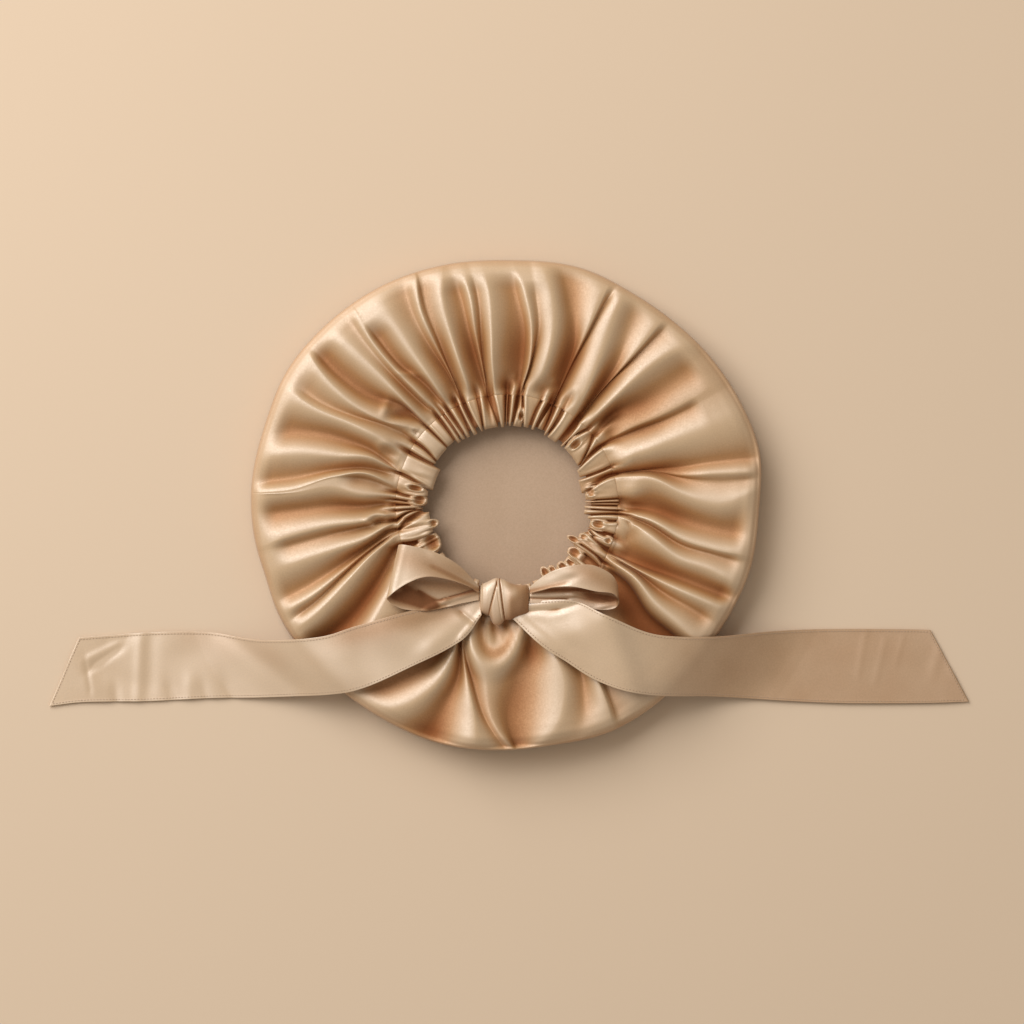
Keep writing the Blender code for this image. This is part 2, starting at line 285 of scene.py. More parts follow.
GAP_DEPTH, GAP_SETBACK = 3.2, 3.2  # between pleats: below them, and back from the inner edge
EDGE_WIDTH, EDGE_SETBACK = 0.4, 3.0  # over which a pleat falls into the gap, and draws back
START_ROLL, START_ROLL_WIDTH = 1.2, 2.2  # how far a pleat curves down to its start
END_ROLL, END_ROLL_WIDTH = 0.9, 1.4  # and to its end
BEAD, BEAD_INSET, BEAD_HALF = 0.5, 1.7, 0.9  # the fuller fold along a pleat's end
LEAST_PLEAT, PLEAT_OVERHANG = 0.3, 0.1  # width in degrees; share of it beyond the two ends
PUCKER, PUCKERS = 0.22, 150  # height of small unevenness, and how many swells of it there are round
CREST_SHADE, SHADE_A_MM = 0.12, 0.17  # painted shade on a pleat, less for each mm of its height
PLEATS = [
    # one pleat: angle of its start at the seam, midway and at the inner edge, the same of its
    # end, height of its start and of its end, radius that its inner edge reaches
    (0.2, 0.6, 1, 1.5, 1.7, 1.8, 0, 0.6, 51.8),
    (2, 2.2, 2.2, 3.5, 3.5, 3.6, 0.3, 0.8, 51.8),
    (4, 4, 4.3, 15.7, 14.3, 8.5, 0, 1.2, 52.2),
    (16.9, 16, 9.4, 20.3, 19.8, 20, -0.6, 0.2, 50.1),
    (21.3, 20.9, 21.2, 31.8, 30.3, 27, -0.2, 1.2, 51.8),
    (33, 32.2, 28, 38.6, 34, 28.6, 0, 0.4, 54),
    (40.3, 34.8, 29.3, 42.5, 45.3, 45.6, 0, 0.3, 53.8),
    (43.9, 46.2, 46.7, 49.6, 48.1, 48.5, 0, 0.9, 53.2),
    (51.9, 51.9, 52.2, 59, 58.6, 60, 0.1, 0.9, 52.8),
    (60.4, 60.2, 61, 63.8, 63, 62.8, -0.2, 0.8, 52.8),
    (65.7, 64.8, 64.8, 66.3, 67.5, 69, -0.3, 0.3, 55.2),
    (68, 69.5, 70.4, 71.2, 72.2, 72.8, 0.6, 0.8, 53.2),
    (72, 73.8, 74.6, 81.6, 80, 78.4, -0.3, 1.1, 53.5),
    (82.3, 81, 79.5, 83.6, 84.2, 85.8, 0.2, 0.6, 53),
    (84.9, 85.9, 87, 88, 88.4, 89, 0, 0.5, 53),
    (89, 89.6, 90, 90.3, 90.7, 91, -0.5, 0, 53),
    (91, 91.2, 91.8, 97.1, 95.8, 94.4, 0, 1.1, 52.1),
    (100.2, 98.4, 96.3, 104.2, 105.2, 106.6, 0, 1, 52.5),
    (105.9, 106.3, 107.6, 111.8, 111.2, 109.2, -0.2, 1, 51.8),
    (113.3, 113, 112, 115.7, 115.7, 115.3, 0.5, 0.8, 51.5),
    (116.7, 116.5, 117.6, 121.2, 120.6, 120.5, 0, 0.6, 52),
    (122, 121.9, 121.3, 124.3, 124, 124.3, 0.3, 0.8, 52.5),
    (125.3, 125, 125.2, 127.2, 127.4, 128.2, 0.3, 0.6, 52.5),
    (128.2, 128.4, 129, 135.2, 135.1, 135.2, 0.2, 0.3, 55.2),
    (135.7, 135.7, 136, 144.8, 145, 147.3, 0.8, 0.8, 54.9),
    (145.9, 145.9, 148.2, 150.4, 150.5, 150.2, 0.2, 0.6, 54.9),
    (151.9, 151.8, 151.2, 162.4, 164.2, 168.2, 0.3, 1.2, 50.1),
    (163.5, 165.2, 168.9, 172.3, 174, 173.3, 0.1, 0.3, 53),
    (173.2, 174.9, 173.9, 176.2, 177.2, 178.4, 0.2, 0.4, 53.3),
    (176.9, 177.8, 178.9, 178.9, 179.1, 179.4, 0.2, 0.5, 56),
    (179.8, 179.7, 179.9, 182, 181.7, 181.3, 0.4, 0.5, 57),
    (182.8, 182.3, 181.8, 187.4, 183.5, 182.4, 0.2, 0.1, 57),
    (188.4, 184.3, 182.9, 192, 186.6, 183.4, 0.4, 0.6, 57),
    (192.9, 188.8, 184.2, 199, 200.8, 199.3, 0.8, 1.8, 51.6),
    (203, 202.4, 200.3, 207, 206.5, 206, -0.4, 0.2, 52),
    (326.5, 328.3, 329.3, 329, 331.5, 332.3, 0.3, 0.9, 51),
    (330, 332.3, 333, 332, 335.6, 341.8, 0, 0.3, 54),
    (331.2, 334.6, 342.3, 335.2, 338.4, 343.6, 0.9, 0.4, 56),
    (337.5, 339, 344, 343, 343, 345, 0.2, 0.6, 57),
    (345, 345.4, 345.9, 352, 350.8, 350.4, 0.1, 0.4, 56),
    (352.6, 351.8, 351, 355.4, 354.8, 353.2, 0.2, 1.1, 54),
    (355.9, 355.4, 353.8, 357.3, 357.3, 357.5, 0.1, 0.5, 51.3),
    (357.9, 357.9, 358.1, 359.9, 360, 360.3, 0.2, 0.5, 51.3),
]
FLUTE_SIDES, FLUTE_TIP = 0.8, 1.0  # cloth beside a flute's hole, and inwards of it
FLUTE_LIP, FLUTE_LIP_HALF = 0.9, 0.3  # rolled edge of the hole; its width is a share of the hole
FLUTE_SPREAD = 1.9  # how far out a flute shapes the cloth, as such a share
FLUTES = [
    # a pleat's end that curls round an open hole: angle and radius of its middle, half width
    # round the casing, half length outwards, depth of the hole
    (9.7, 56, 3.2, 2.7, 3.5), (42, 60.7, 2.6, 4.4, 3), (81.2, 60, 1.8, 3, 3),
    (169, 61.7, 2, 5, 3.5), (176.2, 57.7, 3, 4, 3.5), (193.4, 49.8, 2.4, 2.8, 3.5),
    (206, 55, 5.6, 4.8, 4), (299.8, 50.3, 2.7, 3.2, 3.5), (305.5, 51.5, 1.7, 2.3, 2.5),
    (312.5, 54.3, 2.3, 2.9, 3), (318.5, 56, 2.3, 2.7, 3), (325.3, 54, 3.1, 3.8, 3.5),
    (333.5, 48.6, 1.9, 3.3, 3.5), (338, 54.3, 1.9, 1.9, 2.5), (341, 70.6, 1.9, 2.1, 2.5),
    (348.7, 61.3, 2.5, 4, 3.5),
]
CASING_DIPS = [
    # where a deep fold of the crown runs into the casing: angle, half width in degrees, depth
    (3, 1.3, 1.1), (16.5, 2.2, 2.4), (32.3, 1.8, 2), (40, 1.8, 1.6), (50.7, 1.8, 3.6),
    (65.8, 2.2, 4.6), (83.5, 1.8, 3.4), (90, 1.8, 3), (100.5, 1.8, 3.8), (113, 1.4, 3.2),
    (117, 1.4, 2.6), (122, 1.3, 1.9), (128, 1.2, 1.9), (135.7, 1, 1.4), (145, 1.3, 1.9),
    (151, 1.2, 1.6), (162, 1.5, 1.6), (172, 1.5, 1.9), (178.5, 1.5, 2), (187, 1.8, 1.9),
    (193, 1.4, 2), (201, 2.5, 2.7), (329, 2.5, 2.7), (335.5, 2.2, 2.7), (344, 1.2, 1.6),
    (356, 1.2, 2), (360, 1.5, 1.4),
]
# Under the bow the pleats are hidden, and run on at a plain spacing.
BOW_START, BOW_END, PLEAT_SPACING = 208.6, 322, 6.1
PLEATS += [
    (a, a + 0.3, a + 0.6, a + 5.4, a + 5.2, a + 5.0, 0.0, 0.7, 52.0 + a % 1.7)
    for a in np.arange(BOW_START, BOW_END, PLEAT_SPACING)
]


def pleated(angle, across):
    """Relief of the pleats and reach of their inner edge; across is 0 at the seam, 1 inside."""
    relief = np.full(np.shape(angle), -GAP_DEPTH)
    reach = np.full(np.shape(angle), CASING_INNER + GAP_SETBACK)
    weights = (
        (1 - across) * (1 - 2 * across), 4 * across * (1 - across), across * (2 * across - 1)
    )
    for *edges, start_height, end_height, inner_edge in PLEATS:
        start = sum(w * a for w, a in zip(weights, edges[:3]))
        end = sum(w * a for w, a in zip(weights, edges[3:]))
        wide = np.maximum(end - start, LEAST_PLEAT)
        u = ((angle - start + 90) % 360 - 90) / wide
        within = (u > -PLEAT_OVERHANG) & (u < 1 + PLEAT_OVERHANG)
        from_start, from_end = u * wide * MM_A_DEGREE, (1 - u) * wide * MM_A_DEGREE
        level = start_height + (end_height - start_height) * np.clip(u, 0, 1) ** 1.5
        roll = BEAD * np.exp(-((from_end - BEAD_INSET) / BEAD_HALF) ** 2)
        roll -= START_ROLL * np.clip(1 - from_start / START_ROLL_WIDTH, 0, 1) ** 2
        roll -= END_ROLL * np.clip(1 - from_end / END_ROLL_WIDTH, 0, 1) ** 2
        drop = sum(
            np.clip(1 - np.maximum(off, 0) / EDGE_WIDTH, 0, 1) ** 2
            for off in (from_start, from_end)
        )
        drop = np.clip(drop, 0, 1)
        here = np.where(within, level + roll - (GAP_DEPTH + level) * drop, -np.inf)
        reach = np.where(here > relief, inner_edge + EDGE_SETBACK * drop ** 1.5, reach)
        relief = np.maximum(relief, here)
    for dip_angle, half_width, dip_depth in CASING_DIPS:
        off = ((angle - dip_angle + 180) % 360 - 180) / half_width
        relief = relief - dip_depth * np.exp(-off ** 2) * (1 - across)
    uneven = ripple(angle / (360 / PUCKERS), across * 3 + 9, seed=8, around=PUCKERS)
    return relief + PUCKER * uneven, reach


def painted_pleat_shade(relief):
    """Painted shade on the pleats: little on their crests, most in the gaps."""
    return CREST_SHADE - SHADE_A_MM * relief


def aside(angle, from_angle, radius):
    """How far round the crown a point lies from an angle, in mm."""
    return ((angle - from_angle + 180) % 360 - 180) * math.pi / 180 * radius


def casing_points(angle, across):
    """Radius, height and relief of the casing's upper side, across from 0 at the seam to 1."""
    relief, reach = pleated(angle, across)
    for middle, out, half_width, half_length, _ in FLUTES:
        beside = abs(aside(angle, middle, out)) / (half_width + FLUTE_SIDES)
        tip = out - half_length - FLUTE_TIP
        bulge = np.sqrt(np.clip(1 - beside ** 2, 0, 1))
        reach = np.where(beside < 1, np.minimum(reach, reach + (tip - reach) * bulge), reach)
    radius = reach + (CASING_OUTER - reach) * (1 - across)
    for middle, out, half_width, half_length, hole in FLUTES:
        away = np.hypot(aside(angle, middle, out) / half_width, (radius - out) / half_length)
        lip = FLUTE_LIP * np.exp(-((away - 1) / FLUTE_LIP_HALF) ** 2)
        shaped = np.maximum(relief, -0.5) + (lip - hole * np.clip(1 - away, 0, 1) ** 0.5)
        relief = np.where(away < FLUTE_SPREAD, shaped, relief)
    top = from_table(CASING_SECTION, 1, across)
    share = from_table(CASING_SECTION, 3, across)
    return radius, top + relief * share, relief


# The crown's own colour on the crest of a fold, then painted shade colours in a fold and deep between
# two folds.
CROWN_COLOUR_AND_SHADES = [(0.64, 0.423, 0.232), (0.53, 0.255, 0.078), (0.40, 0.125, 0.017)]
turns = np.arange(CASING_CELLS) * 360 / CASING_CELLS
rows, painted_shades = [], []
for side in range(CASING_SIDES):
    turn = 2 * math.pi * side / CASING_SIDES
    across = (1 - math.cos(turn)) / 2
    radius, height, relief = casing_points(turns, across)
    if side > CASING_SIDES / 2:
        under = from_table(CASING_SECTION, 2, across)
        height = np.minimum(under, height - LEAST_HEIGHT)
    rows.append(round_crown(radius, turns, height))
    # Painted shade on the pleats, deepest in the gaps between them.
    painted_shades.append(painted_pleat_shade(relief))
casing_satin = satin("casing_satin", CROWN_COLOUR_AND_SHADES, roughness=0.48)
casing = cloth(
    "casing", np.array(rows)[::-1], casing_satin, closed_round=True, closed_along=True,
    shade=np.array(painted_shades)[::-1],
)
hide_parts("band_casing")


# --------------------------------------------------------------- upper panel
# The upper panel of the crown: the same satin, shiny side out, cut as a wide ring and
# gathered on its inner edge to fit the casing. The gathers stand up as nearly forty folds,
# which lean, merge and die out towards the rim.

LIP = 0.3  # the base panel shows this far outside the upper one
PUFF = [
    # place from the band (0) to the rim (1), height of the ridges where the rim slopes and
    # where it is full
    (0.00, 20.0, 20.0), (0.05, 22.4, 22.4), (0.12, 25.8, 25.8), (0.25, 29.4, 29.4),
    (0.45, 30.9, 30.6), (0.62, 30.6, 31.2), (0.75, 29.6, 31.6), (0.84, 28.0, 31.5),
    (0.91, 25.3, 30.2), (0.955, 21.8, 26.8), (0.985, 16.0, 20.6),
    (1.00, RIM_HEIGHT, RIM_HEIGHT),
]
FULL_RIM = [
    # angle, how full the rim is there
    (0, 0.9), (30, 0.8), (60, 0.5), (75, 0.3), (90, 0.05), (104, 0.1), (115, 0.25), (130, 0.3),
    (190, 0.3), (212, 0.2), (232, 0.2), (248, 1.0), (290, 1.0), (302, 0.3), (326, 0.1), (342, 0.8),
]
FOLD_RADII = (74, 94, 115, 139, 162)  # at which a fold's angles are given
FOLDS = [
    # ridge's angle at the five radii, then the valley's; depth of the valley inside and
    # outside, radius where it ends; how far the ridge is sunk inside and outside; crease of
    # the flank down to the valley and of the flank up from it
    (14.2, 11.5, 4, 0.5, 3, 16.2, 14.2, 9.3, 6.8, 6.3, 9, 4, 168, 0, 0, 0.2, 0.3),
    (16.4, 14.4, 10.3, 8.8, 7.9, 16.6, 14.8, 13.2, 12.4, 11.5, 10, 6.5, 172, 9, 1, 0.2, 0.6),
    (25, 22, 21.5, 21, 20.5, 32.2, 30.6, 28.6, 28, 28, 9, 5.5, 149, 0, 0, 0.4, 0.2),
    (34, 32.6, 30.8, 30.3, 31, 40, 40.5, 37.5, 37, 37, 9, 6, 160, 4, 2, -0.2, -0.4),
    (45, 44.8, 44.6, 43.5, 41, 50.2, 50.3, 49.9, 48.8, 48, 10, 5, 164, 0, 0, 0.5, 0),
    (50.8, 50.8, 50.2, 50, 50.3, 51.2, 51.5, 52.3, 55.5, 57.5, 10, 4.5, 163, 9, 0.5, 0, 0),
    (53.5, 55.5, 58, 60.5, 61.5, 65, 64.8, 64.6, 64.3, 63.5, 11, 5, 162, 0, 0, 0.9, 0),
    (65.8, 65.8, 65.4, 65.3, 65.5, 66.2, 66.5, 67.5, 72.5, 77, 11, 6.5, 165, 10, 0.5, 0, 0),
    (77, 74.8, 75, 77.5, 82, 82.8, 80.6, 79.6, 82, 84.5, 8, 4, 152, 0, 0, 0.7, 0.2),
    (83.3, 81, 81.8, 84.8, 88.5, 84.3, 84, 84.5, 87.5, 90, 10, 6, 155, 3, 0.4, 0.2, -0.5),
    (95.2, 95.3, 94.6, 94.4, 96, 99.4, 99.2, 98.4, 98, 99, 9, 5, 154, 0, 0, 0.5, 0.3),
    (100, 100, 100.2, 99.9, 101, 100.4, 101.5, 102.3, 102.5, 103.5, 10, 6, 156, 7, 0.3, 0.2, -0.5),
    (107.5, 107.8, 107.8, 107.2, 105.5, 112.8, 112.6, 112.4, 112.4, 111, 9, 5, 163, 0, 0, 0.15, 0.2),
    (113.2, 113.2, 113.8, 113.8, 111.8, 113.7, 114.2, 116, 116.5, 115.5, 9, 4.5, 166, 7, 0.4, 0, 0.2),
    (120.6, 121, 121.6, 122, 123, 122.2, 123.5, 127, 127.6, 127.4, 9, 7, 151, 0, 0, 0.15, 0.2),
    (126.7, 128.1, 129.3, 129.3, 128, 128.2, 130.3, 131.2, 131.2, 130.5, 8, 3, 168, 1.5, 0.5, 0.15, 0.2),
    (134.6, 134.5, 134.2, 134.8, 135.5, 135.7, 136, 141, 142, 141, 9, 8, 165, 0, 0, 0.15, 0.2),
    (137.5, 144.5, 146.6, 145.6, 143, 144.8, 146.3, 149.3, 150.8, 150, 6, 5, 163, 1.5, 0, 0.15, 0.2),
    (151.5, 152, 152.3, 153.3, 152.7, 162, 158, 157.8, 159.5, 162.5, 8, 7, 165, 0, 0, 0.1, 0.2),
    (162.8, 160.5, 163.5, 165.5, 168, 164.5, 164.8, 168, 172, 174.3, 8, 6, 168, 0, 0, 0.15, 0.2),
    (170, 167, 170.3, 175.2, 176.8, 171.5, 169.3, 171, 175.8, 177.4, 6, 0.5, 113, 0, 0, 0.15, 0.2),
    (174.5, 175.5, 174, 176.4, 177.3, 178, 180, 180, 181, 182, 9, 7, 165, 0.5, 0, 0.15, 0.2),
    (183.5, 186, 186.3, 187.5, 189, 186.5, 188.3, 189, 190, 190.8, 7, 5, 158, 0, 0, 0.15, 0.2),
    (188, 193, 194.2, 195, 195.5, 190, 195.6, 199.2, 201.6, 202.3, 9, 6, 166, 0, 0, 0.1, 0.2),
    (192.8, 197.3, 201.6, 204.7, 205.6, 193.4, 198.3, 202.8, 206.6, 208, 8, 5, 163, 6, 0.5, 0, 0.8),
    (194.8, 200, 205.3, 209.2, 210.7, 199, 209, 214.5, 216.5, 216.5, 11, 11, 166, 0, 0, 0.2, 0.3),
    (208, 216, 221, 225, 227, 236, 245, 244, 237.5, 230, 9, 7, 160, 0, 0, 0.2, 0.3),
    (243, 249, 249.6, 245.5, 238.5, 247, 251, 253.8, 252.2, 251, 9, 8, 168, 0, 0, 0.2, 0.2),
    (249, 251.8, 256.6, 261, 262.3, 250, 252.6, 258.2, 263.5, 270, 9, 6, 168, 5, 0, 0.6, 0.3),
    (258, 261, 263.5, 266, 272, 273, 274.5, 273, 270.5, 272.5, 7, 8, 168, 0, 3, 0.2, -0.1),
    (281, 286, 288, 284.5, 277, 290, 291, 293.8, 291, 286, 7, 6, 168, 0, 0, 0.3, 0),
    (295, 297, 297.6, 297, 295.5, 297, 299, 299, 298.6, 297.2, 7, 5, 165, 0, 0, 0.5, 0.4),
    (303, 306, 306, 305, 304, 328.5, 327, 322.3, 321.7, 321, 14, 13, 162, 0, 0, 0, 0.8),
    (331.8, 331, 327, 325.5, 324.5, 334, 333.2, 331.2, 331, 330.5, 9, 6, 158, 0, 0, 0.3, 0.4),
    (334.8, 334, 333.9, 334.3, 334.6, 335.8, 336.2, 337.2, 337.6, 338, 11, 8, 163, 3, 0, 0, 0),
    (354.3, 348.5, 343.3, 342.6, 341, 356.3, 352.5, 347.8, 346.8, 346.5, 8, 5, 161, 0, 0, 0.3, 0.3),
    (357, 354.3, 349.6, 348.2, 348.5, 359.5, 359, 356, 354, 354, 10, 7, 162, 0, 0, 0, 0),
]
BUMPS = [
    # a small bulge (+) or pocket (-): angle and radius of its middle, half width round the
    # crown and half length outwards, how far its outer end leans round in degrees, height
    (5.5, 84, 6.5, 7, 0, 4), (20, 82, 4, 6, 0, 3), (34.5, 82, 4, 8, 0, -3.5),
    (41, 89, 4, 9, 0, -3.5), (74, 79, 4.5, 6, 0, -4), (69.5, 80, 2.5, 7, -20, 2.5),
    (90.5, 78, 5, 6, 0, -4.5), (86.6, 78, 1.6, 4, 0, 2), (105, 77, 4, 5, 0, -3),
    (117, 77, 4, 5, 0, -3), (139.5, 92.5, 3, 8, 45, -4), (38.3, 83, 1.2, 7, 0, 2),
    (126.5, 108, 1.5, 7, 50, 1.4), (141, 103, 6, 2.6, 25, 2), (281, 94, 7, 13, 0, -6),
    (247, 88, 5, 10, 0, -3), (262, 158, 14, 12, 0, 2.4), (288, 158, 14, 14, 0, 3),
    (348, 84, 5, 5, 30, -3), (360, 82, 4, 8, 0, -3),
]
SWAGS = [
    # a ridge that hangs in a curve: angle and radius of the curve's middle, half width and
    # half length, height of the ridge, depth inside it, how far it smooths the folds that it
    # covers, painted shade inside it
    (264.5, 82, 16, 23, 2, 5.5, 1, 0.5), (266, 81, 6.5, 12.5, 2.2, 0.5, 0, 0),
    (186, 86, 3.6, 6.5, 1.5, 3, 0, 0), (141, 77.4, 2.2, 2.4, 1.2, 3, 0, 0),
    (87.5, 80, 1.8, 6, 1, 0.5, 0, 0), (69.5, 81, 2.4, 7.5, 1.4, 1.5, 0, 0),
    (155, 84.5, 4.4, 8.5, 0.9, 2.2, 0, 0), (117, 76, 3, 5.5, 0.6, 2, 0, 0),
    (60, 80.5, 4.5, 7.5, 0.8, 2.5, 0, 0),
]
SWAG_SHADE_AT, SWAG_SHADE_HALF = 0.66, 0.2  # as shares of the curve's size
SWAG_HALF, SWAG_SMOOTH_TO = 0.34, 1.6  # the same: half width of its ridge, end of the smoothing
ROWS_ON_PANEL, CELLS_ON_FLANK = 78, 7  # of the mesh, down the panel and across half a fold
LEAST_FOLD, LEAST_DEPTH = 0.3, 0.1  # degrees between two ridges; depth of a valley in mm
FOLDS_RISE_TO, FOLDS_DIE = 0.15, (0.94, 0.99)  # place of full depth; places between which they end
SOFTER_OUT = 0.15  # how much softer the creases are towards the rim
INSIDE_TO, OUTSIDE_FROM = 98, 135  # radii up to and from which the folds' two values hold
FOLD_START = 0.22  # share of its depth with which a fold leaves the band
VALLEY_FADE, VALLEY_LEFT = 13, 0.1  # how far before its end a valley fades, to what share
DEEP_FOLD = 10.5  # fold depth at which the painted shade is at its deepest
BAND_SHADE = 0.72  # share of the painted fold shade kept next to the band
RIM_SHADE = 0.18  # painted shade where the panel turns under at the rim
PANEL_SWELL = 0.25  # small unevenness of the cloth between its folds
SWELLS, SWELL_LENGTH = 150, 26  # of it: how many round, and how long outwards
SEAM_HEIGHT, SEAM_DIP = 20.3, 2.0  # of the panel at the casing, and how far out it gets there
EDGE_HEIGHT, EDGE_TUCK = 19.6, 1.0  # of its edge, and how far that runs in under the pleats
PLEATS_RUN, PLEAT_SHARE = 16.0, 0.9  # how far out the casing's pleats run on, with what height
PLEAT_SHADE_RUN = 11.0  # how far out the pleats' painted shade runs on


def eased(start, end, where):
    """From 0 at start to 1 at end, without a jolt at either."""
    t = np.clip((where - start) / (end - start), 0, 1)
    return t * t * (3 - 2 * t)


def fold_line(angles, place):
    """Angle of a ridge or a valley at every place from the band (0) to the rim (1)."""
    spread = rim_radius(np.array(angles)) - LIP - SEAM_RADIUS
    return through((np.array(FOLD_RADII) - SEAM_RADIUS) / spread, angles, place)


def flank(t, crease):
    """Height left at t on the way down a flank; crease over 0 drops late, under 0 early."""
    soft = (1 + np.cos(np.pi * t)) / 2
    late = 1 - 0.5 * t ** 2 - 0.5 * t ** 8
    early = 0.5 * (1 - t) ** 2 + 0.5 * (1 - t) ** 8
    return soft + np.where(crease > 0, late - soft, early - soft) * abs(crease)


def near_seam(reach, width, power):
    """From 1 at the seam to 0 at this width outside it."""
    return np.clip(1 - (reach - SEAM_RADIUS) / width, 0, 1) ** power


place = 1 - (1 - np.linspace(0, 1, ROWS_ON_PANEL + 1)) ** 1.3  # closer towards the rim
ridges = np.array([fold_line(fold[0:5], place) for fold in FOLDS])
valleys = np.array([fold_line(fold[5:10], place) for fold in FOLDS])
afters = np.concatenate([ridges[1:], ridges[:1] + 360])
ridges = np.minimum(ridges, afters - LEAST_FOLD)
valleys = np.clip(valleys, ridges + LEAST_FOLD / 2, afters - LEAST_FOLD / 2)

# In these arrays a row is a fold, and a column is a place on the way out to the rim.
depth_in, depth_out, valley_end, sunk_in, sunk_out, crease_down, crease_up = (
    np.array(FOLDS)[:, 10:, None].swapaxes(0, 1)
)
ridge_reach = SEAM_RADIUS + place * (rim_radius(ridges) - LIP - SEAM_RADIUS)
outward = eased(INSIDE_TO, OUTSIDE_FROM, ridge_reach)
full = from_table(FULL_RIM, 1, ridges, period=360)
sloping, rounded = (from_table(PUFF, k, place) for k in (1, 2))
tops = sloping + (rounded - sloping) * full
starting = FOLD_START + (1 - FOLD_START) * eased(0, FOLDS_RISE_TO, place)
dying_out = 1 - eased(*FOLDS_DIE, place)
ended = eased(valley_end - VALLEY_FADE, valley_end + 1, ridge_reach)
depths = (depth_in + (depth_out - depth_in) * outward) * (1 - (1 - VALLEY_LEFT) * ended)
sunk = sunk_in + (sunk_out - sunk_in) * outward
peaks = tops - sunk * starting * dying_out
bottoms = tops - depths * starting * dying_out
peaks_after = np.concatenate([peaks[1:], peaks[:1]])
bottoms = np.minimum(bottoms, np.minimum(peaks, peaks_after) - LEAST_DEPTH * dying_out)
softened = 1 - SOFTER_OUT * outward

# From here on a row is a place, and a column is a line of points from the band to the rim.
angle, height = [], []
for t in np.arange(CELLS_ON_FLANK) / CELLS_ON_FLANK:
    angle.append(ridges + (valleys - ridges) * t)
    height.append(bottoms + (peaks - bottoms) * flank(t, crease_down * softened))
for t in np.arange(CELLS_ON_FLANK) / CELLS_ON_FLANK:
    angle.append(valleys + (afters - valleys) * t)
    height.append(bottoms + (peaks_after - bottoms) * flank(1 - t, crease_up * softened))
angle, height = (
    np.stack(part, axis=1).reshape(-1, len(place)).T for part in (angle, height)
)
# Cloth rounds its creases off, so each line takes some of its neighbours' height.
height = (np.roll(height, 1, axis=1) + 2 * height + np.roll(height, -1, axis=1)) / 4

place = place[:, None]
reach = SEAM_RADIUS + place * (rim_radius(angle) - LIP - SEAM_RADIUS)
full = from_table(FULL_RIM, 1, angle, period=360)
crest = sloping[:, None] + (rounded - sloping)[:, None] * full
for middle, out, half_width, half_length, lean, bump_height in BUMPS:
    side, beyond, lean = aside(angle, middle, out), reach - out, math.radians(lean)
    across = (side * math.cos(lean) - beyond * math.sin(lean)) / half_width
    along = (beyond * math.cos(lean) + side * math.sin(lean)) / half_length
    swelling = bump_height * np.exp(-across ** 2 - along ** 2)
    height = height + swelling * eased(0, 0.05, place) * (1 - eased(0.94, 1.0, place))
shade = 0
for middle, out, half_width, half_length, ridge, hole, smooths, darkness in SWAGS:
    away = np.hypot(aside(angle, middle, reach) / half_width, (reach - out) / half_length)
    height = height + (crest - height) * smooths * (1 - eased(1.0, SWAG_SMOOTH_TO, away))
    shade = shade + darkness * np.exp(-((away - SWAG_SHADE_AT) / SWAG_SHADE_HALF) ** 2)
    curve = ridge * np.exp(-((away - 1) / SWAG_HALF) ** 2)
    curve = curve - hole * np.clip(1 - away, 0, 1) ** 1.1
    height = height + curve * eased(0, 0.04, place)
uneven = ripple(angle / 360 * SWELLS, reach / SWELL_LENGTH, seed=5, around=SWELLS)
height = height + PANEL_SWELL * uneven * (1 - place)
# Painted shade: deeper down in the folds and inside the swags, less next to the band, and where the rim
# turns under.
depth = (crest - height) / (DEEP_FOLD * np.maximum(starting, 0.7)[:, None])
painted_shade = np.clip(depth, 0, 1) ** 1.4 + shade
painted_shade = painted_shade * (BAND_SHADE + (1 - BAND_SHADE) * eased(0.05, 0.4, place))
painted_shade = painted_shade + RIM_SHADE * eased(0.92, 0.985, place)

# Next to the casing the panel follows the pleats and takes on their painted shade, and its edge is
# tucked in under them.
pleats, _ = pleated(angle, 0.05)
near = near_seam(reach, SEAM_DIP, power=1.3)
height = height * (1 - near) + SEAM_HEIGHT * near
height = height + PLEAT_SHARE * pleats * near_seam(reach, PLEATS_RUN, power=1.5)
flowing = near_seam(reach, PLEAT_SHADE_RUN, power=1.2)
painted_shade = painted_shade * (1 - flowing) + painted_pleat_shade(pleats) * flowing
edge = round_crown(reach[0] - EDGE_TUCK, angle[0], EDGE_HEIGHT + PLEAT_SHARE * pleats[0])
points = np.concatenate([edge[None], round_crown(reach, angle, height)])
painted_shade = np.concatenate([painted_shade[:1], painted_shade])
crown_satin = satin("crown_satin", CROWN_COLOUR_AND_SHADES, roughness=0.52)
upper = cloth(
    "upper_panel", points[::-1], crown_satin, closed_round=True, wall=PANEL_WALL,
    shade=painted_shade[::-1],
)
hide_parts("crown_upper")


# ------------------------------------------------------------------ the knot
# The neck of the bow: satin ribbon wrapped over the front of the bow, with a narrow tuck of
# it pulled down the middle. It is folded by hand, not sewn.

KNOT = [
    # x, y of the upper edge, of the lower edge, height of the top, of the underside
    (-19.3, -56.5, -67.5, 27.4, 24.6), (-18.9, -54, -70.2, 29.6, 22.4),
    (-17.8, -52.4, -71, 31.2, 21), (-15.6, -51, -71.6, 32.4, 20),
    (-12.6, -49.6, -73.2, 33.1, 19.8), (-10.8, -48.6, -77.2, 33.5, 19.7),
    (-7.9, -47.8, -79, 33.8, 19.7), (-5, -48.4, -77.8, 33.9, 19.7),
    (-3.2, -49, -75.9, 33.9, 19.7), (1, -51, -75.2, 34.2, 19.7),
    (6, -52.4, -73.2, 33.6, 19.9), (10, -52.4, -71.9, 32, 20.4),
    (12.2, -52.8, -71.3, 30, 21.6), (13.1, -54, -70.4, 28.4, 23),
    (13.3, -55.8, -69, 27, 24.2),
]
KNOT_TUCK = [
    # y, x of the tuck's left side, x of its right side
    (-79, -15, -2.2), (-62, -10.9, -4.6), (-49, -7.3, -6.2),
]
